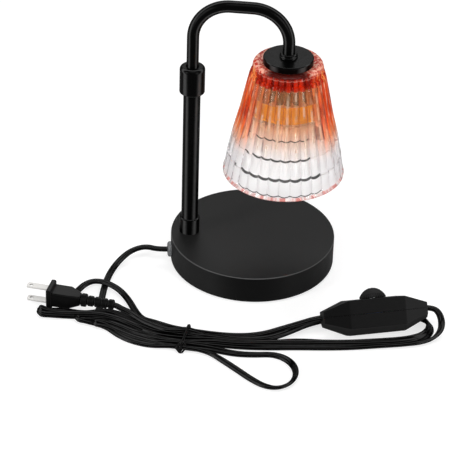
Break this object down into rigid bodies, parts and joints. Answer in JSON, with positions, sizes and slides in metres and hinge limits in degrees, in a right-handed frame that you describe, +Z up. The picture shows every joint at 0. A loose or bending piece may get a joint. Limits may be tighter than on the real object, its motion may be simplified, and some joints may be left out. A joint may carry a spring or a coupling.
{
  "type": "candle warmer lamp",
  "caption": "Table lamp that melts a scented candle from above: round weighted foot, telescopic pole, arched arm, fluted glass shade over a reflector bulb, plug cord with dial dimmer.",
  "frame": {"origin": "centre of the round foot's underside, on the table", "axes": "+Z up; the pole stands on the -X side; -Y is the front, where the cord and its switch lie"},
  "size_m": [0.3435, 0.2587, 0.247],
  "materials": {
    "black_powder_coat": "satin",
    "cast_iron": "rough",
    "zinc_steel": "zinc plated",
    "black_foam": "matte foam",
    "clear_grey_plastic": "translucent",
    "black_pvc": "satin",
    "white_nylon": "satin",
    "white_silicone": "matte",
    "black_plastic": "satin",
    "ombre_glass": "glossy, red-orange at the top fading to clear",
    "grey_silicone": "matte",
    "white_ceramic": "matte",
    "brass": "bright",
    "silvered_reflector": "faceted",
    "clear_glass": "glossy",
    "nickel_plate": "bright",
    "blue_plastic": "satin",
    "green_board": "solder mask"
  },
  "bodies": {
    "foot": {"base_shell": "black_powder_coat", "ballast_weight": "cast_iron", "base_plate": "zinc_steel", "foot_pad": "black_foam", "base_screws": "zinc_steel", "cable_gland": "clear_grey_plastic", "inner_cord": "black_pvc", "cord_clamp": "white_nylon", "wire_crimps": "white_nylon", "base_wires": "white_silicone", "lower_tube": "black_powder_coat", "lead_coil": "white_silicone", "pole_ferrule": "black_powder_coat", "pole_washer": "zinc_steel", "pole_nut": "zinc_steel", "switch_cover": "black_plastic", "switch_base": "black_plastic", "switch_screws": "zinc_steel", "potentiometer": "blue_plastic", "circuit_board": "green_board", "cord_grips": "black_pvc", "plug_body": "black_pvc", "plug_blades": "nickel_plate", "strain_relief": "black_pvc", "cord_base_lead": "black_pvc", "cord_arc": "black_pvc", "cord_plug_lead": "black_pvc", "cord_switch_lead": "black_pvc", "cord_inner_loop": "black_pvc", "cord_outer_loop": "black_pvc", "cord_small_loop": "black_pvc", "cord_bundle": "black_pvc", "twist_tie": "black_pvc"},
    "collar": {"lock_collar": "black_plastic"},
    "collet": {"collet": "white_nylon"},
    "arm": {"upper_tube": "black_powder_coat", "guide_bush": "white_nylon", "arm_lead": "white_silicone", "tube_ring": "black_powder_coat", "shade_cap": "black_powder_coat", "head_nut": "zinc_steel", "holder_cup": "black_powder_coat", "glass_shade": "ombre_glass", "shade_gasket": "grey_silicone", "clamp_ring": "black_plastic", "lamp_socket": "white_ceramic", "socket_contacts": "brass", "socket_spacers": "zinc_steel", "socket_screws": "zinc_steel"},
    "bulb": {"bulb_base": "white_ceramic", "bulb_reflector": "silvered_reflector", "bulb_front": "clear_glass", "bulb_capsule": "clear_glass", "bulb_pins": "nickel_plate"},
    "dial": {"dimmer_dial": "black_plastic", "dial_shaft": "white_nylon"}
  },
  "joints": [
    {"name": "collar_twist", "type": "hinge", "parent": "foot", "child": "collar", "pos_m": [-0.0543, 0, 0.17], "axis": [0, 0, 1], "range_deg": [0, 120]},
    {"name": "arm_swing", "type": "hinge", "parent": "foot", "child": "collet", "pos_m": [-0.0543, 0, 0.17], "axis": [0, 0, 1], "range_deg": [-170, 170]},
    {"name": "arm_height", "type": "slide", "parent": "collet", "child": "arm", "axis": [0, 0, 1], "range_m": [0, 0.085], "deforming": ["lead_coil"]},
    {"name": "bulb_twist", "type": "hinge", "parent": "arm", "child": "bulb", "pos_m": [0.0234, -0.0068, 0.168], "axis": [0, 0, 1], "range_deg": [0, 20]},
    {"name": "dial_turn", "type": "hinge", "parent": "foot", "child": "dial", "pos_m": [0.1008, -0.1015, 0.0175], "axis": [-0.1271, 0.5593, 0.8192], "range_deg": [0, 270]}
  ]
}
